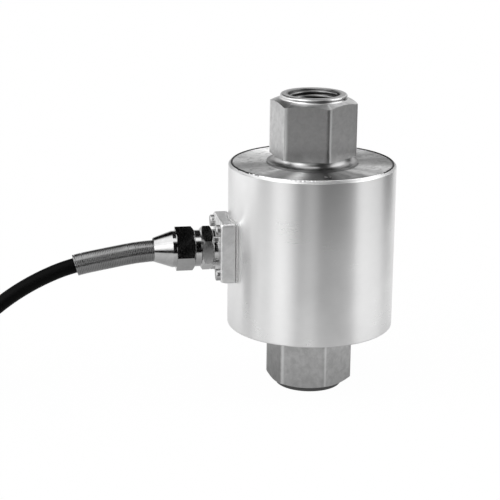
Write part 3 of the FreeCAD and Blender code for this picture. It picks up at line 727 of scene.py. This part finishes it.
def roundedLoop(width, height, edgeRound, steps=5):
    # a rectangle with round corners, from the lower right one on, in x and z
    loop = []
    for cornerX, cornerZ, start in (
        (width - edgeRound, edgeRound, -90), (width - edgeRound, height - edgeRound, 0),
        (edgeRound, height - edgeRound, 90), (edgeRound, edgeRound, 180),
    ):
        for step in range(steps + 1):
            angle = math.radians(start + 90 * step / steps)
            loop.append((cornerX + edgeRound * math.cos(angle), cornerZ + edgeRound * math.sin(angle)))
    return loop


def makeTie(name, angle, settings):
    # a flat band close round the turns, with its locking head on the outer side
    build = bmesh.new()
    width = settings["outer"] - settings["inner"]
    thickness = settings["thickness"]
    outer = roundedLoop(width + 2 * thickness, settings["height"] + thickness, settings["outerRound"])
    inner = roundedLoop(width, settings["height"] - thickness, settings["innerRound"])
    inner = [(x + thickness, z + thickness) for x, z in inner]
    rings = []
    for side in (-0.5, 0.5):
        y = side * settings["width"]
        rings.append([build.verts.new((x, y, z)) for x, z in outer])
        rings.append([build.verts.new((x, y, z)) for x, z in inner])
    count = len(outer)
    for index in range(count):
        after = (index + 1) % count
        for near, far in ((0, 1), (1, 3), (3, 2), (2, 0)):
            build.faces.new((rings[near][index], rings[near][after], rings[far][after], rings[far][index]))
    head = bmesh.ops.create_cube(build, size=1.0)["verts"]
    headPlace = (width + 2 * thickness - settings["headSunk"], 0, settings["headHeight"])
    bmesh.ops.scale(build, vec=settings["headSize"], verts=head)
    bmesh.ops.translate(build, vec=headPlace, verts=head)
    headEdges = list({edge for vert in head for edge in vert.link_edges})
    bmesh.ops.bevel(build, geom=headEdges, offset=settings["headRound"], segments=2, affect="EDGES")
    bmesh.ops.recalc_face_normals(build, faces=build.faces)
    mesh = bpy.data.meshes.new(name)
    build.to_mesh(mesh)
    build.free()
    centreX, centreY = cableSettings["coilCentre"]
    place = Matrix.Translation((centreX, centreY, 0)) @ Matrix.Rotation(math.radians(angle), 4, "Z")
    place = Matrix.Scale(mm, 4) @ place @ Matrix.Translation((settings["inner"] - thickness, 0, 0))
    mesh.transform(place)
    mesh.materials.append(tieNylon)
    return linkObject(name, mesh, smooth=False)


def tubeAlong(points, diameter, roundness, settings):
    # a round tube through the points, as a plain mesh
    holder = roundLine("tube", points, diameter, settings["fineness"], roundness)
    data = holder.data
    bpy.context.view_layer.update()
    seen = holder.evaluated_get(bpy.context.evaluated_depsgraph_get())
    mesh = bpy.data.meshes.new_from_object(seen)
    bpy.data.objects.remove(holder)
    bpy.data.curves.remove(data)
    return mesh


def corePoints(radius, start, end, settings):
    # a core keeps to the curve of the innermost turn that it comes out of
    centreX, centreY = cableSettings["coilCentre"]
    points = []
    for step in range(settings["steps"] + 1):
        distance = start + (end - start) * step / settings["steps"]
        angle = math.radians(settings["startAngle"]) - distance / radius
        points.append((
            centreX + radius * math.cos(angle), centreY + radius * math.sin(angle), settings["height"]))
    return points


def makeCore(colour, radius, settings):
    # bare tinned copper, with insulation over all but its end; the shield has none
    name = "core_end_" + colour
    coated = settings["length"] - settings["bareLength"]
    parts = [(settings["length"], settings["bareDiameter"], 2, tinnedCopper)]
    if colour in corePvc:
        parts.append((coated, settings["diameter"], 3, corePvc[colour]))
    build = bmesh.new()
    mesh = bpy.data.meshes.new(name)
    for index, (end, diameter, roundness, material) in enumerate(parts):
        points = corePoints(radius, -settings["rooted"], end, settings)
        tube = tubeAlong(points, diameter, roundness, settings)
        first = len(build.faces)
        build.from_mesh(tube)
        build.faces.ensure_lookup_table()
        for face in build.faces[first:]:
            face.material_index = index
        bpy.data.meshes.remove(tube)
        mesh.materials.append(material)
    build.to_mesh(mesh)
    build.free()
    return linkObject(name, mesh)


def makeCores(settings):
    spacing = cableSettings["diameter"] / settings["places"]
    inner = cableSettings["turnRadii"][-1] - cableSettings["diameter"] / 2
    return [makeCore(colour, inner + spacing * (index + 0.5), settings)
            for index, colour in enumerate(settings["colours"] + ("shield",))]


ties = [makeTie("coil_tie_" + str(number), angle, tieSettings)
        for number, angle in enumerate(tieSettings["angles"], 1)]
cores = makeCores(coreSettings)
print("ties and bare cores made")


# Weld line between the top cover and the sleeve: a fine bead, ragged on the front left

seamSettings = {
    "radius": 37.5, "height": 107.68, "bead": 0.9, "steps": 720, "sectionSteps": 8,
    "ragged": 0.6, "raggedAngle": 228.0, "raggedFrom": 0.72, "raggedTo": 0.9, "raggedLeast": 0.12,
    "raggedScale": 900.0, "raggedThrow": 3.0, "thickness": 0.75,
}
# The bright tone is a painted highlight at the front of the bead, the dark tone painted shade round the
# rest
weldLook = {
    "bright": "ECECEC", "dark": "1A1A1A", "roughness": 0.45, "brightAngle": -95.0, "brightFrom": 0.6,
    "brightTo": 0.7, "scaleSize": 1.1, "scaleSpread": 0.9, "depth": 0.02,
}


def weldMetal(look):
    # Weld metal: bright where the bead faces the front and dark round the rest of the rim, a painted
    # highlight and painted shade
    material, tree, shader = startMaterial("weldSteelPaintedLight", look["bright"], 1.0, look["roughness"])
    point, way = placeParts(tree)[:2]
    scale = noise(tree, point, look["scaleSize"], detail=3.0, roughness=0.6)
    facing = sway(tree, facingShare(tree, way, look["brightAngle"]), scale, look["scaleSpread"])
    # painted highlight at the front, painted shade round the rest
    paintedLitFront = spread(tree, facing, look["brightFrom"], look["brightTo"], 0.0, 1.0)
    tint = blendColours(tree, paintedLitFront, look["dark"], look["bright"])
    tree.links.new(tint, shader.inputs["Base Color"])
    addRelief(tree, shader, scale, look["depth"])
    return material


weldSteel = weldMetal(weldLook)


def seamTree(settings):
    tree, given = newGeometryTree("seamBead", {
        "Radius": settings["radius"] * mm, "Bead": settings["bead"] * mm, "Ragged": settings["ragged"] * mm,
    })
    ring = addNode(tree, "GeometryNodeCurvePrimitiveCircle", None, {
        "Resolution": settings["steps"], "Radius": given.outputs["Radius"]})
    place = addNode(tree, "GeometryNodeInputPosition").outputs[0]
    way = vectorCalc(tree, "NORMALIZE", place).outputs[0]
    zone = spread(tree, facingShare(tree, way, settings["raggedAngle"]), settings["raggedFrom"],
                  settings["raggedTo"], settings["raggedLeast"], 1.0)
    rough = noise(tree, place, settings["raggedScale"], detail=2.0, roughness=0.5)
    swing = calc(tree, "MULTIPLY", calc(tree, "SUBTRACT", rough, 0.5),
                 calc(tree, "MULTIPLY", zone, given.outputs["Ragged"]))
    out = vectorCalc(tree, "SCALE", way)
    tree.links.new(calc(tree, "MULTIPLY", swing, settings["raggedThrow"]), out.inputs["Scale"])
    moved = addNode(tree, "GeometryNodeSetPosition", None, {
        "Geometry": ring.outputs[0], "Offset": out.outputs[0]})
    thick = sway(tree, settings["thickness"], rough, zone)
    shaped = addNode(tree, "GeometryNodeSetCurveRadius", None, {
        "Curve": moved.outputs[0], "Radius": thick})
    section = addNode(tree, "GeometryNodeCurvePrimitiveCircle", None, {
        "Resolution": settings["sectionSteps"],
        "Radius": calc(tree, "MULTIPLY", given.outputs["Bead"], 0.5)})
    bead = addNode(tree, "GeometryNodeCurveToMesh", None, {
        "Curve": shaped.outputs[0], "Profile Curve": section.outputs[0]})
    endGeometryTree(tree, bead.outputs[0], weldSteel)
    return tree


seam = grow("cover_weld_seam", seamTree(seamSettings))
seam.data.transform(Matrix.Translation((0, 0, seamSettings["height"] * mm)))
print("seam laid, faces:", len(seam.data.polygons))


# Every piece rides on the one body, and some stand in for solids

for piece, slotName, standsFor in (
    (cableLine, "cable_jacket", ("cable", "cable_coil")),
    (guardWire, "spring_wire", ("spring_guard",)),
    (threads["upper"], "satin_steel", ()),
    (threads["lower"], "satin_steel", ()),
    (seam, "satin_steel", ()),
):
    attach(piece, "root")
    if standsFor:
        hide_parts(*standsFor)
for piece in ties:
    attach(piece, "root")
    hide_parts("coil_ties")
for piece in cores:
    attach(piece, "root")
    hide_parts("core_ends")


# A floor of white paper, which the metal sees darken towards the foot

floorSettings = {
    "left": -460.0, "right": 380.0, "front": -280.0, "back": 1500.0, "below": 0.05,
    "colour": "F4F4F4", "roughness": 0.9, "glow": 0.98,
    "shadeAtFoot": 0.34, "shadeFar": 0.86, "shadeReach": 150.0,
}


def makeFloor(settings):
    mesh = bpy.data.meshes.new("studio_floor")
    corners = (("left", "front"), ("right", "front"), ("right", "back"), ("left", "back"))
    points = [(settings[x] * mm, settings[y] * mm, -settings["below"] * mm) for x, y in corners]
    mesh.from_pydata(points, [], [(0, 1, 2, 3)])
    # Uncoated paper: matt, and as white as the backdrop to the eye
    material, tree, shader = startMaterial(
        "whitePaperSweep", settings["colour"], 0.0, settings["roughness"])
    output = tree.nodes["Material Output"]
    light = addNode(tree, "ShaderNodeLightPath")
    mirrored = calc(tree, "MAXIMUM", light.outputs["Is Glossy Ray"], light.outputs["Is Transmission Ray"])
    seen = calc(tree, "MAXIMUM", light.outputs["Is Camera Ray"], mirrored)
    # the object keeps the light off the floor near its foot
    radius = placeParts(tree)[2]
    shade = spread(tree, radius, 0.0, settings["shadeReach"], settings["shadeAtFoot"], settings["shadeFar"])
    strength = mixNumbers(tree, light.outputs["Is Camera Ray"], shade, 1.0)
    glow = addNode(tree, "ShaderNodeEmission", None, {"Color": (1, 1, 1, 1), "Strength": strength})
    mix = addNode(tree, "ShaderNodeMixShader", None, {
        0: calc(tree, "MULTIPLY", seen, settings["glow"]), 1: shader.outputs[0], 2: glow.outputs[0]})
    tree.links.new(mix.outputs[0], output.inputs["Surface"])
    mesh.materials.append(material)
    floor = linkObject("studio_floor", mesh, smooth=False)


# The room as the metal sees it: soft panels that add up. Each has a turn and a height seen from the
# object, half its width, half its tallness and its soft edge, all in degrees, and its light level.
# Turn 0 is towards the camera and grows to the right.
roomSettings = {"cameraBearing": -102.06, "panels": {
    "keyLeft": {"turn": -64.0, "height": 32.5, "width": 34.0, "tall": 26.0, "soft": 15.0, "level": 2.15},
    "keyFront": {"turn": -36.0, "height": 24.0, "width": 16.5, "tall": 16.5, "soft": 15.0, "level": 2.8},
    "lowLeft": {"turn": -109.0, "height": 7.0, "width": 33.0, "tall": 22.0, "soft": 19.0, "level": 1.4},
    "right": {"turn": 88.0, "height": 27.5, "width": 24.5, "tall": 30.5, "soft": 15.0, "level": 2.0},
    "rightBack": {"turn": 126.0, "height": 38.0, "width": 45.0, "tall": 19.0, "soft": 18.0, "level": 1.05},
    "back": {"turn": 180.0, "height": -1.5, "width": 34.0, "tall": 20.5, "soft": 20.5, "level": 0.83},
    "overhead": {"turn": -45.0, "height": 80.0, "width": 110.0, "tall": 20.0, "soft": 12.0, "level": 1.75},
    "frontStrip": {"turn": 0.0, "height": 12.0, "width": 9.0, "tall": 10.0, "soft": 12.0, "level": 1.55},
}}


def panelMask(tree, off, reach, soft):
    # 1 within the panel's reach either way, fading to 0 over its soft edge
    reach, edge = math.radians(reach), math.radians(soft)
    return addNode(tree, "ShaderNodeMapRange", {"interpolation_type": "SMOOTHSTEP"}, {
        "Value": calc(tree, "ABSOLUTE", off), "From Min": reach - edge / 2, "From Max": reach + edge / 2,
        "To Min": 1.0, "To Max": 0.0}).outputs[0]


def makeRoom(settings):
    world = bpy.data.worlds.new("studioRoom")
    scene.world = world
    world.use_nodes = True
    tree = world.node_tree
    tree.nodes.clear()
    way = addNode(tree, "ShaderNodeTexCoord").outputs["Generated"]
    parts = addNode(tree, "ShaderNodeSeparateXYZ", None, {0: way})
    bearing = calc(tree, "ARCTAN2", parts.outputs[1], parts.outputs[0])
    bearing = calc(tree, "SUBTRACT", bearing, math.radians(settings["cameraBearing"]))
    height = calc(tree, "ARCSINE", parts.outputs[2])
    level = 0.0
    for panel in settings["panels"].values():
        off = calc(tree, "SUBTRACT", bearing, math.radians(panel["turn"]))
        off = calc(tree, "WRAP", off, math.pi, -math.pi)
        across = panelMask(tree, off, panel["width"], panel["soft"])
        rise = calc(tree, "SUBTRACT", height, math.radians(panel["height"]))
        mask = calc(tree, "MULTIPLY", across, panelMask(tree, rise, panel["tall"], panel["soft"]))
        level = calc(tree, "ADD", level, calc(tree, "MULTIPLY", mask, panel["level"]))
    # the backdrop is plain white to the eye, and the metal sees the panels that light it
    light = addNode(tree, "ShaderNodeLightPath")
    seen = calc(tree, "MAXIMUM", light.outputs["Is Camera Ray"], light.outputs["Is Transmission Ray"])
    strength = mixNumbers(tree, seen, level, 1.0)
    back = addNode(tree, "ShaderNodeBackground", None, {"Color": (1, 1, 1, 1), "Strength": strength})
    addNode(tree, "ShaderNodeOutputWorld", None, {"Surface": back.outputs[0]})


makeFloor(floorSettings)
makeRoom(roomSettings)
scene.view_settings.view_transform = "Standard"
print("stage set")
